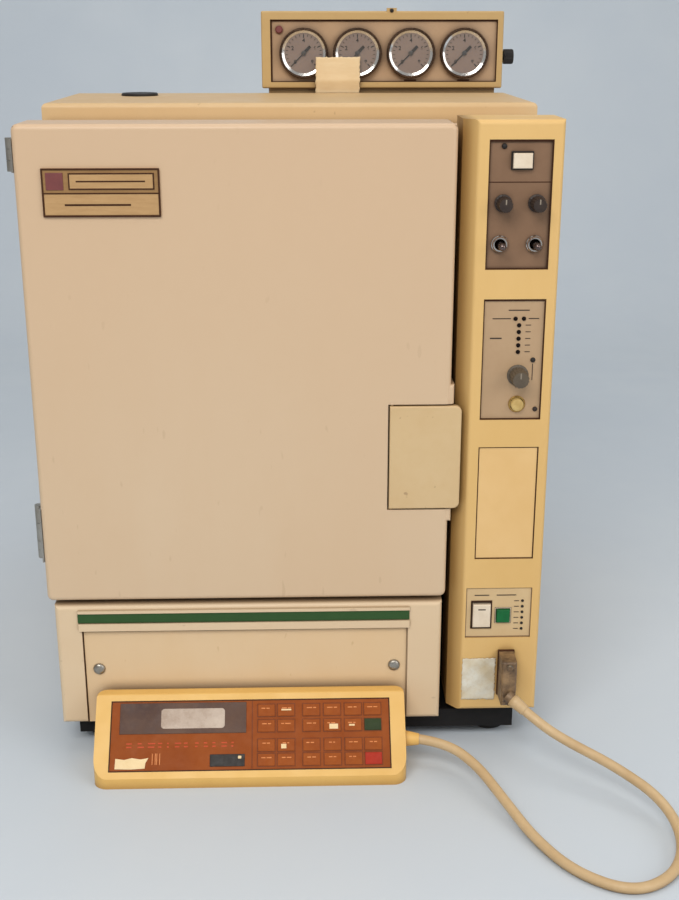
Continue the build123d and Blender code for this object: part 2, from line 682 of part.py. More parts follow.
NODES = {
    "base_frame": base_frame, "feet": feet, "side_panels": side_panels, "rear_panel": rear_panel,
    "deck_panel": deck_panel, "top_hood": top_hood, "lower_front_panel": lower_front_panel,
    "screws": screws, "oven_front_frame": oven_front_frame,
    "oven_liner": oven_liner, "oven_insulation": oven_insulation, "fan_baffle": fan_baffle,
    "oven_fan": oven_fan, "fan_motor": fan_motor, "heater_coil": heater_coil,
    "column_cage": column_cage, "capillary_column": capillary_column,
    "injection_port": injection_port, "port_cap": port_cap, "detector": detector,
    "transformer": transformer, "circuit_boards": circuit_boards, "mains_inlet": mains_inlet,
    "gas_fittings": gas_fittings, "gauge_box": gauge_box,
    "gauge_cases": gauge_cases, "gauge_glasses": gauge_glasses, "regulator_knob": regulator_knob,
    "door_shell": door_shell, "door_insulation": door_insulation,
    "door_inner_plate": door_inner_plate, "door_gasket": door_gasket, "nameplate": nameplate,
    "door_hinges": door_hinges, "cabinet_hinges": cabinet_hinges, "hinge_pins": hinge_pins,
    "door_handle": door_handle, "column_bezel": column_bezel, "module_panels": module_panels,
    "blank_cover": blank_cover, "zero_button": round_button, "power_rocker": rocker,
    "console_case": console_case, "console_bezel": console_bezel, "key_sheet": key_sheet,
    "console_cord": console_cord, "cord_plug": cord_plug,
    "select_button": lambda: push_button(BUTTON_X, BUTTON_Z, -2.0),
    "green_button": lambda: push_button(GREEN_X, GREEN_Z, -1.5),
    "range_knob": lambda: panel_knob(RANGE_AT, 8.3, 14.0),
}
for name, z in REAR_OPENINGS.items():
    NODES[name] = lambda z=z: flap(z)
for name, at in POTS.items():
    NODES[name] = lambda at=at: panel_knob(at, 6.5, 13.0)
for name, at in TOGGLES.items():
    NODES[name] = lambda at=at: toggle(at)
for number, x in enumerate(GAUGE_CENTRES, 1):
    NODES[f"gauge_needle_{number}"] = lambda x=x: needle(x)

os.makedirs("parts", exist_ok=True)
for name, make in NODES.items():
    export_step(make(), f"parts/{name}.step")
print(len(NODES), "nodes")
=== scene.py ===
import math
import random

import bmesh
import bpy
from mathutils import Matrix, Vector


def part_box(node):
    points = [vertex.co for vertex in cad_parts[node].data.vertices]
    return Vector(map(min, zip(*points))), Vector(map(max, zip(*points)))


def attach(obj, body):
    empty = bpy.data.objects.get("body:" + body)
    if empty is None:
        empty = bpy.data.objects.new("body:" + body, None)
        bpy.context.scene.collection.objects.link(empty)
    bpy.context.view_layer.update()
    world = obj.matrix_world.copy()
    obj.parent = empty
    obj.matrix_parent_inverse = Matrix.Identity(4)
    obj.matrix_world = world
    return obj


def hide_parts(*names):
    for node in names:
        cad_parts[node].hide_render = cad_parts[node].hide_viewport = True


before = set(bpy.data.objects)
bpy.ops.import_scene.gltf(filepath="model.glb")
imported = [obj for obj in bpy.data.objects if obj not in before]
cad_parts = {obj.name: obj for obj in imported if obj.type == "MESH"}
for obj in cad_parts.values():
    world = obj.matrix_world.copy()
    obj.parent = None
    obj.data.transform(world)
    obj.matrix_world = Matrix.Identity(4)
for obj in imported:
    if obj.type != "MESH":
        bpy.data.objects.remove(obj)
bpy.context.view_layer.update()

# Metres, in the row's frame: +X right, +Y back, +Z up. "Depth" is measured back from the door's front.
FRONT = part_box("door_shell")[0][1]
MM = 0.001
BACK = 480.0                    # the rear panel's depth
SMOOTH_BELOW = math.radians(35)  # edges sharper than this stay crisp on turned pieces
ROUND_ABOVE = 0.6               # radians; edges sharper than this are rounded by a bevel


def at(x, depth, z):
    """A point from millimetres across, behind the door's front plane and above the bench."""
    return Vector((x * MM, FRONT + depth * MM, z * MM))


# --- camera, floor and light -----------------------------------------------------------------

def add_camera():
    data = bpy.data.cameras.new("camera")
    data.lens = 50.64
    data.sensor_width = 36.0
    camera = bpy.data.objects.new("camera", data)
    camera.location = at(9.1, -936.1, 577.8)
    camera.rotation_euler = (math.radians(90 - 18.455), 0, math.radians(-1.635))
    bpy.context.collection.objects.link(camera)
    bpy.context.scene.camera = camera


def link(name, mesh, smooth=True):
    piece = bpy.data.objects.new(name, mesh)
    bpy.context.collection.objects.link(piece)
    for face in mesh.polygons:
        face.use_smooth = smooth
    return piece


def rgb(red, green, blue):
    """A linear colour from the familiar 0 to 255 values."""
    def linear(value):
        value /= 255
        return value / 12.92 if value <= 0.04045 else ((value + 0.055) / 1.055) ** 2.4
    return (linear(red), linear(green), linear(blue), 1.0)


def node(tree, kind, **values):
    made = tree.nodes.new("ShaderNode" + kind)
    for key, value in values.items():
        if key in made.inputs:
            made.inputs[key].default_value = value
        else:
            setattr(made, key, value)
    return made


def noise_mask(tree, vector, scale, low, high, detail=4.0):
    """0 to 1 where noise of this scale rises from low to high."""
    noise = node(tree, "TexNoise", Scale=scale, Detail=detail, Roughness=0.6)
    tree.links.new(vector, noise.inputs["Vector"])
    ramp = node(tree, "MapRange")
    ramp.inputs["From Min"].default_value = low
    ramp.inputs["From Max"].default_value = high
    tree.links.new(noise.outputs["Fac"], ramp.inputs["Value"])
    return ramp.outputs["Result"]


def blend_colour(tree, mask, first, second):
    mix = node(tree, "Mix", data_type="RGBA")
    tree.links.new(mask, mix.inputs["Factor"])
    for socket, value in ((mix.inputs[6], first), (mix.inputs[7], second)):
        if isinstance(value, tuple):
            socket.default_value = value
        else:
            tree.links.new(value, socket)
    return mix.outputs[2]


def scaled(tree, mask, amount):
    maths = node(tree, "Math", operation="MULTIPLY")
    tree.links.new(mask, maths.inputs[0])
    maths.inputs[1].default_value = amount
    return maths.outputs[0]


def surface(name, base, tint, tint_scale=8.0, tint_amount=0.6, rough=(0.42, 0.58), metallic=0.0,
            grain=900.0, grain_depth=0.00002, stretch=(1, 1, 1), specks=None, crevice_shade=None, coat=0.0,
            specular=0.5, graded=None):
    """A surface with cloudy colour, uneven gloss, fine relief, optional specks and optional painted crevice
    shade.

    graded is (axis, from, to, colour): the surface turns to that colour along an axis, in metres; on the
    column's bezel it is painted shade on the left bevel.
    """
    material = bpy.data.materials.new(name)
    material.use_nodes = True
    tree = material.node_tree
    shader = tree.nodes["Principled BSDF"]
    shader.inputs["Metallic"].default_value = metallic
    shader.inputs["Coat Weight"].default_value = coat
    shader.inputs["Coat Roughness"].default_value = 0.2
    shader.inputs["Specular IOR Level"].default_value = specular
    coordinates = node(tree, "TexCoord")
    mapping = node(tree, "Mapping")
    mapping.inputs["Scale"].default_value = stretch
    tree.links.new(coordinates.outputs["Object"], mapping.inputs["Vector"])
    vector = mapping.outputs["Vector"]
    cloud = noise_mask(tree, vector, tint_scale, 0.35, 0.7)
    colour = blend_colour(tree, scaled(tree, cloud, tint_amount), base, tint)
    fine = noise_mask(tree, vector, tint_scale * 9, 0.45, 0.75)
    colour = blend_colour(tree, scaled(tree, fine, tint_amount * 0.35), colour, tint)
    if specks:
        spot = noise_mask(tree, vector, 160.0, 0.74, 0.78, detail=1.0)
        colour = blend_colour(tree, scaled(tree, spot, 0.6), colour, specks)
    # Painted shade: an ambient-occlusion mask darkens creases, recesses and gaps towards this colour.
    if crevice_shade:
        shade = node(tree, "AmbientOcclusion", Distance=0.012, samples=8)
        cover = node(tree, "MapRange")
        cover.inputs["From Min"].default_value = 0.85
        cover.inputs["From Max"].default_value = 0.35
        tree.links.new(shade.outputs["AO"], cover.inputs["Value"])
        colour = blend_colour(tree, scaled(tree, cover.outputs["Result"], 0.75), colour, crevice_shade)
    if graded:
        axis, low, high, shade_colour = graded
        parts = node(tree, "SeparateXYZ")
        tree.links.new(coordinates.outputs["Object"], parts.inputs["Vector"])
        rise = node(tree, "MapRange")
        rise.inputs["From Min"].default_value = low
        rise.inputs["From Max"].default_value = high
        tree.links.new(parts.outputs[axis], rise.inputs["Value"])
        colour = blend_colour(tree, scaled(tree, rise.outputs["Result"], 0.85), colour, shade_colour)
    tree.links.new(colour, shader.inputs["Base Color"])
    gloss = noise_mask(tree, vector, tint_scale * 4, 0.3, 0.7)
    spread = node(tree, "MapRange")
    spread.inputs["To Min"].default_value = rough[0]
    spread.inputs["To Max"].default_value = rough[1]
    tree.links.new(gloss, spread.inputs["Value"])
    tree.links.new(spread.outputs["Result"], shader.inputs["Roughness"])
    relief = node(tree, "TexNoise", Scale=grain, Detail=2.0)
    tree.links.new(vector, relief.inputs["Vector"])
    bump = node(tree, "Bump", Strength=1.0, Distance=grain_depth)
    tree.links.new(relief.outputs["Fac"], bump.inputs["Height"])
    tree.links.new(bump.outputs["Normal"], shader.inputs["Normal"])
    return material


def glass(name, alpha):
    material = bpy.data.materials.new(name)
    material.use_nodes = True
    tree = material.node_tree
    shader = tree.nodes["Principled BSDF"]
    shader.inputs["Base Color"].default_value = (0.9, 0.92, 0.92, 1)
    shader.inputs["Alpha"].default_value = alpha
    coordinates = node(tree, "TexCoord")
    smear = noise_mask(tree, coordinates.outputs["Object"], 60.0, 0.3, 0.7)
    spread = node(tree, "MapRange")
    spread.inputs["To Min"].default_value = 0.03
    spread.inputs["To Max"].default_value = 0.09
    tree.links.new(smear, spread.inputs["Value"])
    tree.links.new(spread.outputs["Result"], shader.inputs["Roughness"])
    return material


def add_stage():
    """A pale bench top that sweeps up into a pale wall."""
    profile = [(-2.5, 0.0), (1.1, 0.0)]
    profile += [(1.1 + 0.7 * math.sin(math.radians(a)), 0.7 - 0.7 * math.cos(math.radians(a)))
                for a in range(10, 91, 10)]
    profile.append((1.8, 3.2))
    mesh = bpy.data.meshes.new("floor")
    points = [(x, y, z) for y, z in profile for x in (-3.5, 3.5)]
    faces = [(2 * i, 2 * i + 1, 2 * i + 3, 2 * i + 2) for i in range(len(profile) - 1)]
    mesh.from_pydata(points, [], faces)
    floor = link("floor", mesh)
    mesh.materials.append(surface("bench_pale", rgb(203, 211, 218), rgb(192, 202, 213), tint_scale=1.5,
                                  rough=(0.5, 0.7), grain=300, grain_depth=0.00005))


def area_light(name, location, target, size, power, colour):
    data = bpy.data.lights.new(name, "AREA")
    data.shape = "RECTANGLE"
    data.size, data.size_y = size
    data.energy = power
    data.color = colour
    lamp = bpy.data.objects.new(name, data)
    lamp.location = location
    lamp.rotation_euler = (Vector(target) - Vector(location)).to_track_quat("-Z", "Y").to_euler()
    bpy.context.collection.objects.link(lamp)


def add_light():
    area_light("key", (-0.5, -1.9, 1.9), (0, 0, 0.25), (1.6, 1.0), 36, (1.0, 0.97, 0.93))
    area_light("fill", (1.6, -1.5, 1.1), (0, 0, 0.2), (1.4, 1.4), 14, (1.0, 0.98, 0.96))
    area_light("top", (0.1, 0.2, 2.4), (0, 0, 0.3), (1.6, 1.6), 12, (1.0, 0.98, 0.95))
    world = bpy.data.worlds.new("world")
    world.use_nodes = True
    world.node_tree.nodes["Background"].inputs["Color"].default_value = (0.93, 0.93, 0.92, 1)
    world.node_tree.nodes["Background"].inputs["Strength"].default_value = 0.42
    bpy.context.scene.world = world
    bpy.context.scene.view_settings.view_transform = "Standard"


add_camera()
add_stage()
add_light()

# --- materials -------------------------------------------------------------------------------

# The crevice colours given below are painted shade, laid into creases by an ambient-occlusion mask.
CREAM = surface("cream_enamel", rgb(212, 186, 158), rgb(205, 174, 138), tint_scale=5, tint_amount=0.5,
                stretch=(1, 1, 0.35), specks=rgb(150, 120, 90), crevice_shade=rgb(120, 92, 62))
DOOR_CREAM = surface("door_enamel", rgb(208, 183, 152), rgb(202, 171, 136), tint_scale=3.5,
                     tint_amount=0.55, stretch=(1, 1, 0.3), specks=rgb(192, 164, 132),
                     crevice_shade=rgb(128, 98, 66), rough=(0.36, 0.5), graded=("Z", 0.22, 0.5, rgb(201, 171, 139)))
PANEL_CREAM = surface("panel_enamel", rgb(218, 194, 161), rgb(211, 183, 147), tint_scale=5,
                      stretch=(0.6, 1, 1), specks=rgb(190, 164, 134), crevice_shade=rgb(120, 92, 62))
DOCK_CREAM = surface("dock_enamel", rgb(219, 191, 153), rgb(214, 180, 134), tint_scale=5,
                     stretch=(1, 1, 0.5), specks=rgb(196, 164, 120), crevice_shade=rgb(120, 92, 62))
HOOD_CREAM = surface("hood_enamel", rgb(204, 174, 130), rgb(196, 162, 114), tint_scale=6,
                     specks=rgb(170, 140, 100), crevice_shade=rgb(120, 92, 62))
# Painted shade: the bezel turns darker across its left bevel, from x 137.5 mm down to 128.5 mm.
COLUMN = surface("aged_bezel", rgb(220, 182, 118), rgb(208, 166, 98), tint_scale=6, tint_amount=0.6,
                 stretch=(1, 1, 0.4), crevice_shade=rgb(132, 90, 44), grain=500, grain_depth=0.00004,
                 graded=("X", 0.1375, 0.1285, rgb(150, 114, 62)))
COVER = surface("aged_cover", rgb(226, 188, 130), rgb(214, 172, 108), tint_scale=9,
                crevice_shade=rgb(132, 90, 44), grain=500, grain_depth=0.00004)
CONSOLE = surface("console_shell", rgb(226, 182, 102), rgb(212, 164, 84), tint_scale=9,
                  crevice_shade=rgb(140, 92, 40), grain=500, grain_depth=0.00004)
GAUGE_BOX = surface("gauge_box_enamel", rgb(188, 157, 104), rgb(174, 140, 88), tint_scale=9,
                    specks=rgb(150, 118, 78), crevice_shade=rgb(110, 78, 46))
HANDLE = surface("handle_plate", rgb(206, 178, 134), rgb(196, 162, 114), tint_scale=12,
                 specks=rgb(150, 118, 84), crevice_shade=rgb(120, 88, 56))
BLACK = surface("black_steel", rgb(20, 19, 20), rgb(32, 30, 30), tint_scale=20, rough=(0.55, 0.75),
                specular=0.25)
RUBBER = surface("rubber_feet", rgb(22, 22, 23), rgb(44, 42, 40), tint_scale=40, rough=(0.7, 0.9),
                 grain=1200, grain_depth=0.00005)
STEEL = surface("brushed_stainless", rgb(176, 176, 174), rgb(150, 148, 144), tint_scale=6, metallic=1.0,
                rough=(0.22, 0.42), stretch=(1, 1, 30), grain=120, grain_depth=0.00003)
PLATED = surface("plated_steel", rgb(170, 166, 158), rgb(140, 132, 120), tint_scale=60, metallic=1.0,
                 rough=(0.25, 0.45))
CHROME = surface("chrome_tip", rgb(215, 213, 210), rgb(190, 186, 180), tint_scale=80, metallic=1.0,
                 rough=(0.08, 0.2))
BRASS = surface("brass_fitting", rgb(198, 160, 92), rgb(160, 120, 60), tint_scale=80, metallic=1.0,
                rough=(0.2, 0.4))
WOOL = surface("mineral_wool", rgb(222, 214, 196), rgb(196, 184, 160), tint_scale=40, rough=(0.85, 1.0),
               grain=250, grain_depth=0.0006)
SILICONE = surface("silicone_seal", rgb(196, 188, 172), rgb(170, 158, 136), tint_scale=30,
                   rough=(0.6, 0.8))
COPPER = surface("column_tubing", rgb(150, 96, 52), rgb(110, 68, 36), tint_scale=50, metallic=0.7,
                 rough=(0.3, 0.5), stretch=(1, 40, 1))
DARK_PLASTIC = surface("dark_plastic", rgb(30, 26, 25), rgb(46, 41, 38), tint_scale=70, rough=(0.4, 0.6),
                       specular=0.3)
KNOB = surface("knob_grey", rgb(44, 35, 31), rgb(66, 54, 47), tint_scale=90, rough=(0.4, 0.55),
               specular=0.3)
RANGE_KNOB = surface("range_knob_grey", rgb(92, 80, 64), rgb(70, 60, 48), tint_scale=90)
TOGGLE = surface("toggle_lever", rgb(112, 98, 94), rgb(84, 72, 70), tint_scale=120, metallic=1.0,
                 rough=(0.2, 0.36))
POINTER = surface("knob_pointer", rgb(150, 138, 122), rgb(124, 112, 98), tint_scale=120)
MODULE = surface("module_grey", rgb(123, 94, 71), rgb(134, 104, 80), tint_scale=20, tint_amount=0.8,
                 crevice_shade=rgb(60, 44, 34), rough=(0.5, 0.65), specular=0.3)
MODULE_PALE = surface("module_pale", rgb(178, 148, 114), rgb(168, 136, 102), tint_scale=20,
                      rough=(0.45, 0.6))
POWER_GREY = surface("power_panel_grey", rgb(206, 178, 134), rgb(196, 164, 118), tint_scale=30)
WHITE = surface("white_key", rgb(226, 210, 188), rgb(206, 186, 158), tint_scale=60, rough=(0.3, 0.45),
                crevice_shade=rgb(110, 84, 60))
ZERO_CREAM = surface("zero_button_cap", rgb(206, 178, 112), rgb(170, 138, 76), tint_scale=150,
                     tint_amount=0.9, rough=(0.35, 0.5))
GREEN = surface("green_key", rgb(12, 104, 52), rgb(10, 78, 40), tint_scale=90, rough=(0.4, 0.55),
                specular=0.3)
STRIPE = surface("green_band", rgb(42, 76, 36), rgb(52, 86, 44), tint_scale=40, rough=(0.5, 0.65),
                 specular=0.3)
BRONZE = surface("bronze_plate", rgb(164, 126, 80), rgb(142, 106, 64), tint_scale=40, metallic=0.3,
                 rough=(0.35, 0.5), stretch=(1, 1, 8))
BRONZE_DARK = surface("bronze_border", rgb(70, 42, 26), rgb(54, 32, 20), tint_scale=60, rough=(0.5, 0.7),
                      specular=0.15)
BRONZE_PALE = surface("bronze_strip", rgb(190, 152, 104), rgb(172, 134, 88), tint_scale=60,
                      metallic=0.2, stretch=(1, 1, 6))
PLUM = surface("emblem_plum", rgb(118, 60, 58), rgb(96, 46, 46), tint_scale=100)
DIAL = surface("dial_face", rgb(124, 104, 92), rgb(112, 90, 80), tint_scale=40, rough=(0.35, 0.5))
DIAL_INK = surface("dial_ink", rgb(16, 11, 11), rgb(28, 20, 20), tint_scale=200, rough=(0.6, 0.8),
                   specular=0.08)
GAUGE_RIM = surface("gauge_rim", rgb(92, 72, 58), rgb(64, 50, 42), tint_scale=60, metallic=0.8,
                    rough=(0.2, 0.35))
GAUGE_PANEL = surface("gauge_panel", rgb(180, 150, 118), rgb(166, 134, 102), tint_scale=20,
                      crevice_shade=rgb(84, 58, 38))
TAPE = surface("masking_tape", rgb(224, 200, 160), rgb(214, 186, 142), tint_scale=50, rough=(0.6, 0.8),
               grain=700, grain_depth=0.00012, stretch=(1, 1, 4))
CORD = surface("cord_vinyl", rgb(202, 174, 132), rgb(182, 150, 106), tint_scale=30, rough=(0.4, 0.55),
               crevice_shade=rgb(150, 116, 72))
PLUG = surface("plug_shell", rgb(152, 122, 86), rgb(66, 48, 36), tint_scale=75, tint_amount=1.0,
               rough=(0.4, 0.6), grain=300, grain_depth=0.0002)
KEY_SHEET = surface("key_sheet", rgb(148, 74, 22), rgb(128, 58, 16), tint_scale=30, rough=(0.5, 0.65),
                    specular=0.18)
KEY_FRAME = surface("key_outline", rgb(122, 60, 24), rgb(102, 48, 20), tint_scale=60, specular=0.18)
KEY_INK = surface("key_legend", rgb(220, 140, 78), rgb(196, 112, 58), tint_scale=200, specular=0.3)
KEY_PAD = surface("key_pad", rgb(154, 78, 22), rgb(134, 62, 18), tint_scale=80, rough=(0.5, 0.65),
                  specular=0.18)
KEY_ORANGE = surface("panel_legend", rgb(196, 78, 40), rgb(176, 62, 30), tint_scale=150, specular=0.2)
KEY_GREEN = surface("key_dark_green", rgb(38, 52, 22), rgb(50, 66, 32), tint_scale=80, specular=0.2)
KEY_RED = surface("key_red", rgb(172, 42, 18), rgb(150, 34, 14), tint_scale=80, specular=0.2)
LCD_FRAME = surface("display_frame", rgb(66, 40, 32), rgb(104, 78, 62), tint_scale=25, tint_amount=0.9,
                    rough=(0.4, 0.55), specular=0.25)
LCD = surface("display_cell", rgb(152, 128, 108), rgb(196, 180, 164), tint_scale=50, tint_amount=0.9,
              rough=(0.25, 0.4), specular=0.3)
STICKER = surface("paper_sticker", rgb(240, 216, 170), rgb(222, 190, 138), tint_scale=60,
                  rough=(0.7, 0.85))
LABEL = surface("label_film", rgb(224, 220, 206), rgb(198, 176, 132), tint_scale=45, tint_amount=0.9,
                rough=(0.3, 0.6), grain=120, grain_depth=0.0004)
CIRCUIT = surface("circuit_board", rgb(34, 84, 52), rgb(24, 64, 40), tint_scale=200, rough=(0.3, 0.4))
CLEAR = glass("clear_glass", 0.035)

NODE_MATERIALS = {
    CREAM: ("side_panels", "rear_panel", "deck_panel"),
    HOOD_CREAM: ("top_hood",),
    DOOR_CREAM: ("door_shell",),
    PANEL_CREAM: ("lower_front_panel",),
    COLUMN: ("column_bezel",),
    COVER: ("blank_cover",),
    CONSOLE: ("console_case", "console_bezel"),
    GAUGE_BOX: ("gauge_box",),
    HANDLE: ("door_handle",),
    BLACK: ("base_frame", "fan_motor", "transformer"),
    RUBBER: ("feet",),
    STEEL: ("oven_front_frame", "oven_liner", "fan_baffle", "oven_fan", "column_cage",
            "injection_port", "detector", "door_inner_plate"),
    PLATED: ("screws", "heater_coil", "cabinet_hinges", "door_hinges", "hinge_pins", "exhaust_flap",
             "intake_flap"),
    TOGGLE: ("toggle_left", "toggle_right"),
    BRASS: ("gas_fittings", "zero_button"),
    WOOL: ("oven_insulation", "door_insulation"),
    SILICONE: ("door_gasket",),
    COPPER: ("capillary_column",),
    DARK_PLASTIC: ("port_cap", "mains_inlet"),
    MODULE: ("module_panels",),
    WHITE: ("select_button", "power_rocker"),
    GREEN: ("green_button",),
    BRONZE: ("nameplate",),
    GAUGE_RIM: ("gauge_cases",),
    DIAL_INK: tuple(f"gauge_needle_{n}" for n in range(1, 5)),
    PLUG: ("cord_plug",),
    KEY_SHEET: ("key_sheet",),
    CIRCUIT: ("circuit_boards",),
    CLEAR: ("gauge_glasses",),
}


def set_material(piece, material):
    if not piece.material_slots:
        piece.data.materials.append(material)
    for place in piece.material_slots:
        place.material = material


for material, names in NODE_MATERIALS.items():
    for name in names:
        set_material(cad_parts[name], material)

# --- mesh helpers ----------------------------------------------------------------------------

def finish_piece(name, bm, material, body, smooth=False, bevel=0.0, transform=None):
    """Turns a bmesh into a piece that rides on a body, with its edges rounded."""
    bmesh.ops.recalc_face_normals(bm, faces=bm.faces)
    if bevel:
        sharp = [e for e in bm.edges if e.is_manifold and e.calc_face_angle(0) > ROUND_ABOVE]
        bmesh.ops.bevel(bm, geom=sharp, offset=bevel, segments=2, profile=0.5, affect="EDGES",
                        clamp_overlap=True)
    if transform is not None:
        bm.transform(transform)
    mesh = bpy.data.meshes.new(name)
    bm.to_mesh(mesh)
    bm.free()
    piece = link(name, mesh, smooth)
    mesh.materials.append(material)
    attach(piece, body)
    return piece


def add_box(bm, x, depth, z):
    """A box between two X values, two depths and two heights, in millimetres."""
    middle = at(sum(x) / 2, sum(depth) / 2, sum(z) / 2)
    size = Vector((abs(x[1] - x[0]), abs(depth[1] - depth[0]), abs(z[1] - z[0]))) * MM
    bmesh.ops.create_cube(bm, size=1.0, matrix=Matrix.Translation(middle) @ Matrix.Diagonal((*size, 1)))


def boxes(name, spans, material, body, bevel=0.0002):
    bm = bmesh.new()
    for span in spans:
        add_box(bm, *span)
    return finish_piece(name, bm, material, body, bevel=bevel)


def ring_of_boxes(x, depth, z, width):
    """Four boxes that frame a rectangle, butted at the corners."""
    return [((x[0], x[0] + width), depth, z), ((x[1] - width, x[1]), depth, z),
            ((x[0] + width, x[1] - width), depth, (z[0], z[0] + width)),
            ((x[0] + width, x[1] - width), depth, (z[1] - width, z[1]))]


def add_lathe(bm, centre, profile, steps=48, flutes=0, flute_depth=0.0, fluted=()):
    """Turns (radius, depth) points, in millimetres, about an axis along Y through centre (x, z)."""
    rings = []
    for index, (radius, depth) in enumerate(profile):
        ring = []
        for step in range(steps):
            turn = 2 * math.pi * step / steps
            swing = flute_depth * (0.5 + 0.5 * math.cos(flutes * turn)) if index in fluted else 0
            reach = radius - swing
            ring.append(bm.verts.new(at(centre[0] + reach * math.cos(turn), depth,
                                        centre[1] + reach * math.sin(turn))))
        rings.append(ring)
    for first, second in zip(rings, rings[1:]):
        for step in range(steps):
            after = (step + 1) % steps
            bm.faces.new((first[step], first[after], second[after], second[step]))
    return rings


def close_ends(bm, rings):
    bm.faces.new(rings[0])
    bm.faces.new(rings[-1])


def lathe(name, centre, profile, material, body, slot, closed=True, transform=None, **shape):
    bm = bmesh.new()
    rings = add_lathe(bm, centre, profile, **shape)
    if closed:
        close_ends(bm, rings)
    else:
        for step in range(len(rings[0])):
            after = (step + 1) % len(rings[0])
            bm.faces.new((rings[-1][step], rings[-1][after], rings[0][after], rings[0][step]))
    piece = finish_piece(name, bm, material, body, smooth=True, transform=transform)
    piece.data.set_sharp_from_angle(angle=SMOOTH_BELOW)
    return piece


def domes(name, centres, radius, depth, material, body):
    """Small round lamps that stand a little proud of a panel."""
    bm = bmesh.new()
    for centre in centres:
        rings = add_lathe(bm, centre, [(radius, depth), (radius, depth - 0.3 * radius),
                                       (0.7 * radius, depth - 0.7 * radius)], steps=16)
        close_ends(bm, rings)
    return finish_piece(name, bm, material, body, smooth=True)


# --- the cord --------------------------------------------------------------------------------

CORD_ROUTE = [
    (100.0, -30.5, 25.5), (122.0, -36.5, 25.0), (144.0, -61.0, 19.5), (160.0, -97.0, 12.0),
    (177.0, -138.0, 5.0), (200.0, -178.0, 4.0), (236.0, -201.0, 4.0), (270.0, -184.0, 4.4),
    (287.0, -148.0, 8.0), (280.0, -111.0, 18.5), (250.0, -79.0, 28.0), (215.0, -53.0, 36.0),
    (197.0, -40.0, 43.5), (184.0, -30.0, 52.0)]
CORD_DIAMETER = 0.008


def add_cord():
    curve = bpy.data.curves.new("cord", "CURVE")
    curve.dimensions = "3D"
    curve.bevel_depth = CORD_DIAMETER / 2
    curve.bevel_resolution = 6
    curve.resolution_u = 16
    spline = curve.splines.new("NURBS")
    spline.points.add(len(CORD_ROUTE) - 1)
    for point, place in zip(spline.points, CORD_ROUTE):
        point.co = (*at(*place), 1.0)
    spline.order_u = 3
    spline.use_endpoint_u = True
    cord = bpy.data.objects.new("keyboard_cord", curve)
    bpy.context.collection.objects.link(cord)
    curve.materials.append(CORD)
    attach(cord, "root")
    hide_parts("console_cord")


add_cord()

# --- cabinet trim ----------------------------------------------------------------------------

def green_band():
    boxes("green_band", [((-176.5, 92.9), (-1.1, 0.0), (119.2, 127.6))], STRIPE, "root",
          bevel=0.0004)


def panel_screws():
    """Domed heads on the dock's plate and a small one on the gauge box's tab."""
    bm = bmesh.new()
    dome = [(5.0, 2.5), (5.0, 2.0), (4.7, 0.8), (3.9, 0.0), (2.4, -0.5), (1.0, -0.68)]
    for x in (-162.0, 81.0):
        close_ends(bm, add_lathe(bm, (x, 76.5), dome, steps=32))
    heads = finish_piece("dock_screws", bm, PLATED, "root", smooth=True)
    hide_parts("screws")
    lathe("tab_screw", (91.0, 592.4), [(1.7, 275.0), (1.7, 274.3), (1.1, 273.6)], DARK_PLASTIC, "root",
          "plated_steel", steps=20)


def dock_plate():
    """The separate plate screwed into the dock, with the dark gap at its left edge and a painted shadow strip
    under the ledge along its top.
    """
    x, z = (-173.0, 91.0), (27.3, 110.2)
    boxes("dock_plate", [(x, (1.9, 2.5), z)], DOCK_CREAM, "root", bevel=0.0003)
    # The left strip is the dark gap; the top strip is painted shadow under the ledge.
    gap = [((-174.0, -173.0), (2.3, 2.5), (27.3, 111.5)), ((-173.0, 92.0), (2.3, 2.5), (110.2, 111.5))]
    boxes("dock_gap_and_ledge_shadow", gap, BRONZE_DARK, "root", bevel=0.0)


green_band()
panel_screws()
dock_plate()


def nameplate_detail():
    x, z = (-180.0, -94.5), (446.5, 481.5)
    face = (-1.9, -1.2)
    boxes("nameplate_border", ring_of_boxes(x, face, z, 1.3), BRONZE_DARK, "oven_door")
    strip_x, strip_z = (-160.5, -98.5), (466.2, 478.2)
    boxes("nameplate_strip", [(strip_x, (-1.7, -1.2), strip_z)], BRONZE_PALE, "oven_door")
    boxes("nameplate_strip_edge", ring_of_boxes(strip_x, (-2.0, -1.2), strip_z, 1.0), BRONZE_DARK,
          "oven_door")
    boxes("nameplate_base_strip", [((-178.4, -96.0), (-1.5, -1.2), (448.2, 462.9))], BRONZE_PALE, "oven_door",
          bevel=0.0)
    boxes("nameplate_divider", [((-178.7, -95.8), (-1.8, -1.2), (463.2, 464.0))], BRONZE_DARK,
          "oven_door", bevel=0.0)
    boxes("nameplate_emblem", [((-176.8, -164.2), (-1.9, -1.2), (466.0, 478.4))], PLUM, "oven_door")
    bars = [((-155.0, -105.0), (-1.85, -1.7), (471.6, 472.7)),
            ((-164.0, -116.0), (-1.65, -1.5), (454.6, 456.0))]
    boxes("nameplate_bars", bars, BRONZE_DARK, "oven_door", bevel=0.0)


nameplate_detail()

# --- gauges ----------------------------------------------------------------------------------

GAUGES = (11.0, 60.0, 109.0, 158.0)
GAUGE_Z = 555.5
SWEEP = 270.0
START = 225.0


def dial_angle(share):
    """The direction of a point on the scale, from 0 at its start to 1 at its end."""
    return math.radians(START - SWEEP * share)


def add_bar(bm, middle, direction, length, width, depth):
    """A flat bar on a dial, centred on middle (x, z) and pointing along an angle."""
    turn = Matrix.Rotation(-direction, 4, "Y")
    size = Matrix.Diagonal((length * MM, 0.15 * MM, width * MM, 1))
    place = Matrix.Translation(at(middle[0], depth, middle[1]))
    bmesh.ops.create_cube(bm, size=1.0, matrix=place @ turn @ size)


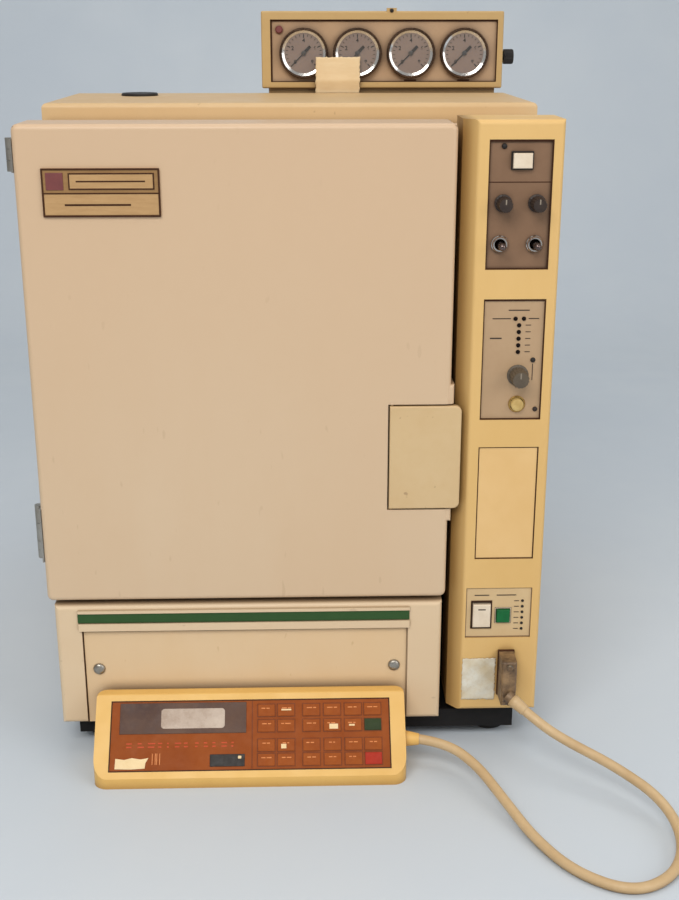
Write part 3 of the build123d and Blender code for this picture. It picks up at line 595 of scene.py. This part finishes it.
def gauge(number, x):
    rim = [(19.9, 272.6), (20.6, 271.9), (21.6, 272.0), (22.2, 273.0), (22.2, 279.0), (20.2, 279.0),
           (19.9, 276.0)]
    lathe(f"gauge_rim_{number}", (x, GAUGE_Z), rim, GAUGE_RIM, "root", "black_steel", closed=False)
    lathe(f"dial_face_{number}", (x, GAUGE_Z), [(19.6, 276.6), (19.6, 276.35), (2.2, 276.35)], DIAL,
          "root", "black_steel")
    lathe(f"dial_wall_{number}", (x, GAUGE_Z), [(19.9, 275.2), (19.9, 276.5), (17.7, 276.5), (17.7, 276.2)],
          CHROME, "root", "stainless", closed=False)
    marks = bmesh.new()
    for step in range(21):
        turn = dial_angle(step / 20)
        long_mark = step % 5 == 0
        length = 3.2 if long_mark else 2.0
        reach = 16.6 - length / 2
        middle = (x + reach * math.cos(turn), GAUGE_Z + reach * math.sin(turn))
        add_bar(marks, middle, turn, length, 0.9 if long_mark else 0.5, 276.25)
    finish_piece(f"dial_scale_{number}", marks, DIAL_INK, "root")
    for step in range(5):
        numeral(f"dial_number_{number}_{step}", str(2 * step), x, dial_angle(step / 4))
    lathe(f"needle_cap_{number}", (x, GAUGE_Z), [(2.2, 275.2), (2.2, 274.8), (1.5, 274.45)], DARK_PLASTIC,
          f"needle_{number}", "needle_black", steps=24)


def numeral(name, text, x, turn):
    """A dial's number, set upright inside the scale."""
    curve = bpy.data.curves.new(name, "FONT")
    curve.body = text
    curve.size = 5.0 * MM
    curve.extrude = 0.06 * MM
    curve.offset = 0.12 * MM
    curve.align_x, curve.align_y = "CENTER", "CENTER"
    piece = bpy.data.objects.new(name, curve)
    bpy.context.collection.objects.link(piece)
    reach = 11.0
    piece.location = at(x + reach * math.cos(turn), 276.22, GAUGE_Z + reach * math.sin(turn))
    piece.rotation_euler = (math.pi / 2, 0, 0)
    curve.materials.append(DIAL_INK)
    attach(piece, "root")


for number, x in enumerate(GAUGES, 1):
    gauge(number, x)


def gauge_panel():
    x, z = (-19.3, 188.1), (530.2, 584.7)
    boxes("gauge_panel", [(x, (278.3, 279.0), z)], GAUGE_PANEL, "root", bevel=0.0)
    boxes("gauge_window_edge", ring_of_boxes(x, (276.6, 278.3), z, 0.7), BRONZE_DARK, "root",
          bevel=0.0)
    shade = (277.4, 278.3)
    boxes("gauge_window_shade", [(x, shade, (z[1] - 1.6, z[1])), ((x[0], x[0] + 1.5), shade, z)],
          BRONZE_DARK, "root", bevel=0.0)
    bars = [((middle - 5.5, middle + 5.5), (278.0, 278.3), (530.9, 532.3)) for middle in GAUGES[2:]]
    boxes("gauge_names", bars,
          BRONZE_DARK, "root", bevel=0.0)
    lathe("gauge_lamp", (-11.3, 576.0), [(3.4, 278.4), (3.4, 276.4), (2.4, 275.4)], PLUM, "root",
          "black_plastic")


gauge_panel()


def tape_tag():
    """A torn piece of blank masking tape stuck over the bottom of the gauge window."""
    random.seed(4)
    columns, rows = 24, 20
    x, z = (21.7, 62.1), (520.2, 552.3)
    front, back = [], []
    bm = bmesh.new()
    for thickness, layer in ((0.0, front), (0.3, back)):
        random.seed(4)
        for row in range(rows + 1):
            line = []
            for column in range(columns + 1):
                across, up = column / columns, row / rows
                tear = 0.5 * random.uniform(-1, 1) if row == rows or column in (0, columns) else 0
                wave = 0.25 * math.sin(9 * across + 3 * up) + 0.2 * math.sin(14 * up)
                depth = 274.2 - 2.9 * min(1.0, max(0.0, (up - 0.05) / 0.3)) - 0.4 + wave * 0.6
                line.append(bm.verts.new(at(x[0] + (x[1] - x[0]) * across + tear, depth + thickness - 0.5,
                                            z[0] + (z[1] - z[0]) * up + tear)))
            layer.append(line)
    for row in range(rows):
        for column in range(columns):
            for layer in (front, back):
                bm.faces.new((layer[row][column], layer[row][column + 1],
                              layer[row + 1][column + 1], layer[row + 1][column]))
    border = [(0, c) for c in range(columns)] + [(r, columns) for r in range(rows)]
    border += [(rows, c) for c in range(columns, 0, -1)] + [(r, 0) for r in range(rows, 0, -1)]
    for (r0, c0), (r1, c1) in zip(border, border[1:] + border[:1]):
        bm.faces.new((front[r0][c0], front[r1][c1], back[r1][c1], back[r0][c0]))
    finish_piece("tape_tag", bm, TAPE, "root", smooth=True)


tape_tag()

# --- knobs -----------------------------------------------------------------------------------

def fluted_knob(name, centre, radius, reach, base, material, body, slot, replaced, skirt=0.0):
    """A grip with flutes, a domed cap and a pointer line; skirt widens its foot."""
    profile = [(radius + skirt, base), (radius + skirt, base - 1.2), (radius, base - 1.8),
               (radius * 0.97, base - reach + 1.2), (radius * 0.86, base - reach),
               (radius * 0.6, base - reach)]
    knob = lathe(name, centre, profile, material, body, slot, steps=96, flutes=16,
                 flute_depth=0.10 * radius, fluted=(2, 3))
    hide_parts(replaced)
    x, z = centre
    mark = ((x - 0.45, x + 0.45), (base - reach - 0.12, base - reach + 0.4),
            (z + radius * 0.15, z + radius * 0.8))
    boxes(name + "_line", [mark], POINTER, body, bevel=0.0)


POT_FRONT, RANGE_FRONT, KNOB_BASE = -13.0, -14.0, 2.4
fluted_knob("left_knob", (156.5, 455.0), 5.6, KNOB_BASE - POT_FRONT, KNOB_BASE, KNOB, "pot_left",
            "black_plastic", "pot_knob_left", skirt=0.9)
fluted_knob("right_knob", (181.4, 455.0), 5.6, KNOB_BASE - POT_FRONT, KNOB_BASE, KNOB, "pot_right",
            "black_plastic", "pot_knob_right", skirt=0.9)
fluted_knob("range_grip", (173.0, 324.0), 7.0, KNOB_BASE - RANGE_FRONT, KNOB_BASE, RANGE_KNOB, "range_dial",
            "black_plastic", "range_knob", skirt=1.3)


def regulator_grip():
    """The knurled knob on the side of the gauge box, turned about X."""
    low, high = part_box("regulator_knob")
    middle = (Vector(low) + Vector(high)) / 2
    profile = [(3.0, -9.0), (3.0, -1.2), (6.6, -1.2), (6.7, 0.0), (6.7, 6.6), (6.2, 7.6), (3.8, 7.9)]
    bm = bmesh.new()
    close_ends(bm, add_lathe(bm, (0, 0), profile, steps=120, flutes=30, flute_depth=0.5, fluted=(3, 4)))
    bm.transform(Matrix.Translation((0, -FRONT, 0)))
    turn = Matrix.Rotation(math.radians(-90), 4, "Z")
    place = Matrix.Translation((high[0] - 8.0 * MM, middle[1], middle[2]))
    knob = finish_piece("regulator_grip", bm, DARK_PLASTIC, "regulator", smooth=True,
                        transform=place @ turn)
    knob.data.set_sharp_from_angle(angle=SMOOTH_BELOW)
    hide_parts("regulator_knob")


regulator_grip()

# --- control column --------------------------------------------------------------------------

def toggle_collars():
    for number, x in enumerate((155.0, 181.0), 1):
        profile = [(6.4, 2.5), (6.4, 0.4), (5.9, -0.1), (5.4, -0.1), (5.2, -1.4), (4.3, -1.4), (4.05, 2.4)]
        lathe(f"toggle_collar_{number}", (x, 425.0), profile, CHROME, "root", "plated_steel", closed=False)


def dark_edges():
    """The dark gap round each panel in the bezel's slots, and a painted shadow strip inside each slot's top
    edge.
    """
    spans = []
    for low in (406.0, 288.7, 171.4):
        spans += ring_of_boxes((144.6, 191.9), (0.7, 2.4), (low, low + 95.0), 0.9)
        # Painted shadow: an extra dark strip just under each slot's top edge.
        spans.append(((145.5, 191.0), (1.2, 2.4), (low + 93.3, low + 94.1)))
    boxes("slot_gaps_and_top_shadow", spans, BRONZE_DARK, "root", bevel=0.0)
    boxes("power_panel_edge", ring_of_boxes((139.2, 192.5), (1.1, 1.5), (101.5, 145.7), 0.4), GAUGE_PANEL,
          "root", bevel=0.0)


def module_faces():
    """The middle module and the power panel have paler faces than the upper one."""
    boxes("middle_module_face", split_round([(145.5, 191.0), (289.6, 382.8)],
                                            [(173.0, 324.0, 5.6), (173.2, 301.0, 4.7)], (2.2, 2.5)),
          MODULE_PALE, "root", bevel=0.0)
    window = [((139.8, 143.2), (1.2, 1.5), (102.2, 145.0)), ((160.7, 162.9), (1.2, 1.5), (102.2, 145.0)),
              ((176.6, 192.0), (1.2, 1.5), (102.2, 145.0)), ((143.2, 160.7), (1.2, 1.5), (102.2, 108.8)),
              ((143.2, 160.7), (1.2, 1.5), (134.4, 145.0)), ((162.9, 176.6), (1.2, 1.5), (102.2, 113.8)),
              ((162.9, 176.6), (1.2, 1.5), (128.1, 145.0))]
    boxes("power_panel_face", window, POWER_GREY, "root", bevel=0.0)


def split_round(area, holes, depth):
    """Boxes that cover an area except for a square round each hole, working up its height."""
    (x0, x1), (z0, z1) = area
    spans, low = [], z0
    for x, z, r in sorted(holes, key=lambda hole: hole[1]):
        spans.append(((x0, x1), depth, (low, z - r)))
        spans.append(((x0, x - r), depth, (z - r, z + r)))
        spans.append(((x + r, x1), depth, (z - r, z + r)))
        low = z + r
    spans.append(((x0, x1), depth, (low, z1)))
    return spans


def lamps_and_ticks():
    middle_lamps = [(169.5, 368.3), (175.9, 368.3)] + [(172.4, 363.2 - 5.2 * n) for n in range(5)]
    domes("middle_lamps", middle_lamps, 1.65, 2.2, DIAL_INK, "root")
    domes("power_lamps", [(185.4, 133.8 - 5.0 * n) for n in range(6)], 1.2, 1.2, DARK_PLASTIC, "root")
    domes("module_screws", [(184.2, 336.0), (155.8, 496.1)], 2.0, 2.3, DARK_PLASTIC, "root")
    ticks = [((177.5, 181.5), (2.0, 2.2), (363.0 - 5.2 * n, 363.6 - 5.2 * n)) for n in range(5)]
    ticks += [((152.0, 166.0), (2.0, 2.2), (368.0, 368.7)), ((179.5, 187.5), (2.0, 2.2), (368.0, 368.7)),
              ((164.0, 180.0), (2.0, 2.2), (374.4, 375.2)), ((150.5, 159.5), (2.0, 2.2), (352.6, 353.6)),
              ((183.9, 184.5), (2.0, 2.2), (320.0, 333.0))]
    domes("module_mark", [(187.6, 296.8)], 1.9, 2.2, KNOB, "root")
    boxes("middle_ticks", ticks, KNOB, "root", bevel=0.0)
    power_ticks = [((178.6, 182.6), (1.0, 1.2), (133.5 - 5.0 * n, 134.1 - 5.0 * n)) for n in range(6)]
    power_ticks += [(x, (1.0, 1.2), (138.6, 139.4)) for x in ((146.0, 158.0), (164.0, 180.0))]
    boxes("power_ticks", power_ticks, KNOB, "root", bevel=0.0)
    boxes("upper_seam", [((145.4, 191.1), (2.35, 2.5), (469.9, 470.6))], BRONZE_DARK, "root",
          bevel=0.0)


def button_surrounds():
    x, z = (161.2, 177.5), (479.3, 492.5)
    boxes("select_surround", ring_of_boxes(x, (1.2, 2.5), z, 0.9), DARK_PLASTIC, "root")
    boxes("rocker_surround", ring_of_boxes((143.4, 160.5), (0.7, 1.5), (109.4, 133.8), 0.5), BRONZE_DARK,
          "root")
    boxes("green_surround", ring_of_boxes((163.3, 176.2), (0.9, 1.5), (114.2, 127.7), 0.6), WHITE, "root")
    lathe("zero_collar", (173.2, 301.0), [(6.6, 2.5), (6.6, 1.6), (6.1, 1.1), (5.5, 1.1), (5.45, 2.4)],
          BRASS, "root", "brass", closed=False)
    dome = [(5.0, 3.0), (5.0, -0.9), (4.5, -1.9), (3.2, -2.35), (1.2, -2.5)]
    cap = lathe("zero_dome", (173.2, 301.0), dome, ZERO_CREAM, "zero_key", "brass", steps=32)
    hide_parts("zero_button")
    boxes("rocker_mark", [((149.0, 155.0), (-2.12, -1.9), (127.0, 127.9))], KNOB, "rocker",
          bevel=0.0)


def label_patch():
    """A wrinkled, half-clear film label at the foot of the column."""
    random.seed(11)
    columns, rows = 26, 32
    x, z = (137.6, 165.0), (44.5, 82.5)
    bm = bmesh.new()
    grid = {}
    for row in range(rows + 1):
        for column in range(columns + 1):
            across, up = column / columns, row / rows
            ripple = 0.22 * math.sin(11 * across + 7 * up) + 0.2 * math.sin(17 * up - 9 * across)
            edge = random.uniform(-0.5, 0.5) if row in (0, rows) or column in (0, columns) else 0
            grid[row, column] = bm.verts.new(at(x[0] + (x[1] - x[0]) * across + edge, -0.55 + ripple * 0.8,
                                                z[0] + (z[1] - z[0]) * up + edge))
    for row in range(rows):
        for column in range(columns):
            bm.faces.new((grid[row, column], grid[row, column + 1], grid[row + 1, column + 1],
                          grid[row + 1, column]))
    piece = finish_piece("label_film", bm, LABEL, "root", smooth=True)
    thick = piece.modifiers.new("thickness", "SOLIDIFY")
    thick.thickness = 0.2 * MM


toggle_collars()
dark_edges()
module_faces()
lamps_and_ticks()
button_surrounds()
label_patch()

# --- plug ------------------------------------------------------------------------------------

def plug_detail():
    ribs = [((167.2, 179.8), (-20.0 + 3.4 * n, -18.4 + 3.4 * n), (63.0, 82.0)) for n in range(5)]
    boxes("plug_ribs", ribs, PLUG, "root")
    boxes("plug_flange", [((166.6, 180.4), (-2.2, 0.0), (49.1, 90.4))], BRONZE_DARK, "root",
          bevel=0.0005)
    for number, z in enumerate((54.0, 85.5), 1):
        lathe(f"plug_screw_{number}", (173.5, z), [(2.4, -22.0), (2.4, -24.0), (1.9, -24.8)], PLATED, "root",
              "plated_steel", steps=24)
        boxes(f"plug_screw_slot_{number}", [((171.7, 175.3), (-24.9, -24.5), (z - 0.3, z + 0.3))],
              DARK_PLASTIC, "root", bevel=0.0)


def plug_boot():
    """The cord's soft boot, where it goes into the front of the plug's hood."""
    tip, before = at(*CORD_ROUTE[-1]), at(*CORD_ROUTE[-2])
    profile = [(4.15, -3.0), (4.6, -1.5), (4.9, 3.0), (5.3, 7.0), (5.6, 11.0), (3.0, 11.5)]
    bm = bmesh.new()
    close_ends(bm, add_lathe(bm, (0, 0), profile, steps=40))
    bm.transform(Matrix.Translation((0, -FRONT, 0)))
    turn = (tip - before).to_track_quat("Y", "Z").to_matrix().to_4x4()
    finish_piece("plug_boot", bm, CORD, "root", smooth=True,
                 transform=Matrix.Translation(tip) @ turn)


plug_detail()
plug_boot()

# --- console ---------------------------------------------------------------------------------

CONSOLE_X = (-163.0, 88.5)
FACE_LOW, FACE_HIGH = (-57.0, 9.0), (-12.0, 60.0)


def slope_frame():
    """Local X runs across the console, Y up its sloping face and Z out of it, in metres."""
    low, high = at(0, *FACE_LOW), at(0, *FACE_HIGH)
    middle = (low + high) / 2 + Vector((sum(CONSOLE_X) / 2 * MM, 0, 0))
    up = (high - low).normalized()
    across = Vector((1, 0, 0))
    out = across.cross(up)
    return Matrix.Translation(middle) @ Matrix((across, up, out)).transposed().to_4x4()


SLOPE = slope_frame()


def pads(name, spans, height, material, bevel=0.0003, base=-0.2):
    """Rounded pads on the sloping face: (x0, x1, y0, y1) in millimetres from its middle."""
    bm = bmesh.new()
    for x0, x1, y0, y1 in spans:
        size = Vector((x1 - x0, y1 - y0, height)) * MM
        middle = Vector(((x0 + x1) / 2, (y0 + y1) / 2, base + height / 2)) * MM
        bmesh.ops.create_cube(bm, size=1.0, matrix=Matrix.Translation(middle) @ Matrix.Diagonal((*size, 1)))
    return finish_piece(name, bm, material, "root", bevel=bevel, transform=SLOPE)


def key_grid():
    random.seed(21)
    columns = (6.0, 22.0, 42.5, 59.5, 76.5, 92.5)
    rows = (24.2, 11.6, -4.0, -15.6)
    key_width, key_height = 13.6, 9.6
    outlines, plain, legends = [], [], []
    for column, x in enumerate(columns):
        for row, top in enumerate(rows):
            span = (x, x + key_width, top - key_height, top)
            outlines.append((x - 0.7, x + key_width + 0.7, top - key_height - 0.7, top + 0.7))
            if (column, row) == (5, 1):
                pads("run_key", [span], 0.9, KEY_GREEN, bevel=0.0004)
            elif (column, row) == (5, 3):
                pads("stop_key", [span], 0.9, KEY_RED, bevel=0.0004)
            else:
                plain.append(span)
                legends += key_legend(span)
    pads("key_outlines", outlines, 0.3, KEY_FRAME, bevel=0.0)
    pads("key_pads", plain, 0.8, KEY_PAD, bevel=0.0005)
    pads("key_legends", legends, 0.08, KEY_INK, bevel=0.0, base=0.6)
    bright = [(64.0, 71.0, 3.6, 7.6), (80.0, 84.5, 5.8, 7.2), (24.8, 29.0, -11.6, -8.0),
              (25.0, 33.0, 19.0, 20.2)]
    pads("key_bright_legends", bright, 0.1, STICKER, bevel=0.0, base=0.6)


def key_legend(span):
    """Two short strokes on a key, in place of its printed word."""
    x0, x1, y0, y1 = span
    left = x0 + random.uniform(2.5, 4.0)
    right = x1 - random.uniform(2.5, 5.0)
    middle = left + (right - left) * random.uniform(0.35, 0.65)
    high = y1 - 3.6
    return [(left, middle - 0.5, high, high + 0.8), (middle + 0.5, right, high, high + 0.8)]


def display():
    pads("display_frame", [(-106.0, -3.5, 1.5, 26.5)], 0.5, LCD_FRAME, bevel=0.0003)
    rounded_pad("display_cell", (-72.5, -21.0, 5.6, 21.6), 2.6, 0.75, LCD)
    pads("key_divider", [(1.0, 1.7, -27.0, 27.0)], 0.25, KEY_FRAME, bevel=0.0)
    random.seed(5)
    red = []
    x = -100.0
    while x < -12.0:
        width = random.uniform(2.0, 6.5)
        for y in (-9.4, -6.6):
            red.append((x, x + width * random.uniform(0.6, 1.0), y, y + 1.0))
        x += width + random.uniform(1.5, 4.5)
    pads("panel_legends", red, 0.1, KEY_ORANGE, bevel=0.0)
    lines = [(-79.0 + 1.2 * n, -78.4 + 1.2 * n, -23.0, -14.0) for n in (0, 2, 3, 5)]
    pads("panel_rules", lines, 0.1, KEY_INK, bevel=0.0)
    pads("key_switch", [(-32.5, -4.5, -25.2, -15.4)], 0.6, DARK_PLASTIC)
    pads("switch_dot", [(-10.0, -7.2, -19.2, -16.8)], 0.9, STICKER, bevel=0.0004)


def add_prism(bm, low, high):
    """Closes two matching outlines of vertices into a solid."""
    bm.faces.new(low)
    bm.faces.new(high)
    for i in range(len(low)):
        j = (i + 1) % len(low)
        bm.faces.new((low[i], low[j], high[j], high[i]))


def rounded_pad(name, span, radius, height, material):
    """A pad on the sloping face with rounded corners."""
    x0, x1, y0, y1 = span
    outline = []
    for cx, cy, start in ((x1 - radius, y1 - radius, 0), (x0 + radius, y1 - radius, 90),
                          (x0 + radius, y0 + radius, 180), (x1 - radius, y0 + radius, 270)):
        for step in range(7):
            turn = math.radians(start + 15 * step)
            outline.append((cx + radius * math.cos(turn), cy + radius * math.sin(turn)))
    bm = bmesh.new()
    low = [bm.verts.new(Vector((x, y, -0.2)) * MM) for x, y in outline]
    high = [bm.verts.new(Vector((x, y, height - 0.2)) * MM) for x, y in outline]
    add_prism(bm, low, high)
    return finish_piece(name, bm, material, "root", transform=SLOPE)


def torn_sticker():
    random.seed(7)
    outline = [(-108.5, -26.0), (-96.0, -26.4), (-84.5, -25.8), (-84.0, -21.5), (-81.8, -17.6),
               (-88.0, -18.6), (-95.0, -17.4), (-101.0, -18.8), (-108.2, -17.8)]
    bm = bmesh.new()
    low = [bm.verts.new(Vector((x, y, -0.15)) * MM) for x, y in outline]
    high = [bm.verts.new(Vector((x, y, 0.15 + 0.1 * random.random())) * MM) for x, y in outline]
    add_prism(bm, low, high)
    finish_piece("torn_sticker", bm, STICKER, "root", transform=SLOPE)


def console_window_edge():
    half_x, half_y, width = 113.5, 28.5, 0.9
    spans = [(-half_x, half_x, half_y - width, half_y), (-half_x, half_x, -half_y, -half_y + width),
             (-half_x, -half_x + width, -half_y, half_y), (half_x - width, half_x, -half_y, half_y)]
    pads("key_window_edge", spans, 0.35, BRONZE_DARK, bevel=0.0)


key_grid()
display()
torn_sticker()
console_window_edge()

# --- back, sides and top ---------------------------------------------------------------------

def add_head(bm, spot, facing, radius=3.2):
    """A domed screw head at a point, facing along a direction."""
    turn = Vector(facing).to_track_quat("Z", "Y").to_matrix().to_4x4()
    for low, high, wide, narrow in ((0.0, 0.8, 1.0, 1.0), (0.8, 1.7, 1.0, 0.55)):
        middle = Matrix.Translation((0, 0, (low + high) / 2 * MM))
        bmesh.ops.create_cone(bm, cap_ends=True, segments=18, radius1=radius * wide * MM,
                              radius2=radius * narrow * MM, depth=(high - low) * MM,
                              matrix=Matrix.Translation(spot) @ turn @ middle)


def casing_screws():
    bm = bmesh.new()
    for z in (40.0, 190.0, 340.0, 490.0):
        for x in (-185.0, 185.0):
            add_head(bm, at(x, BACK, z), (0, 1, 0))
    for x in (-60.0, 60.0):
        for z in (40.0, 490.0):
            add_head(bm, at(x, BACK, z), (0, 1, 0))
    for side in (-1, 1):
        for depth in (75.0, 260.0, 465.0):
            for z in (42.0, 492.0):
                add_head(bm, at(196.0 * side, depth, z), (side, 0, 0))
        for depth in (300.0, 465.0):
            add_head(bm, at(184.0 * side, depth, 505.0), (0, 0, 1))
    finish_piece("casing_screws", bm, PLATED, "root")


def rating_plate():
    """A blank metal plate on the back, with a border and plain bars for its lines of print."""
    x, z = (50.0, 120.0), (330.0, 372.0)
    ink = (BACK + 0.6, BACK + 0.75)
    boxes("rating_plate", [(x, (BACK, BACK + 0.6), z)], STEEL, "root", bevel=0.0003)
    boxes("rating_border", ring_of_boxes((51.5, 118.5), ink, (331.5, 370.5), 0.6), BRONZE_DARK,
          "root", bevel=0.0)
    bars = [((56.0, 56.0 + length), ink, (363.0 - 7.0 * row, 364.6 - 7.0 * row))
            for row, length in enumerate((42.0, 54.0, 30.0, 48.0, 36.0))]
    boxes("rating_bars", bars, BRONZE_DARK, "root", bevel=0.0)


casing_screws()
rating_plate()
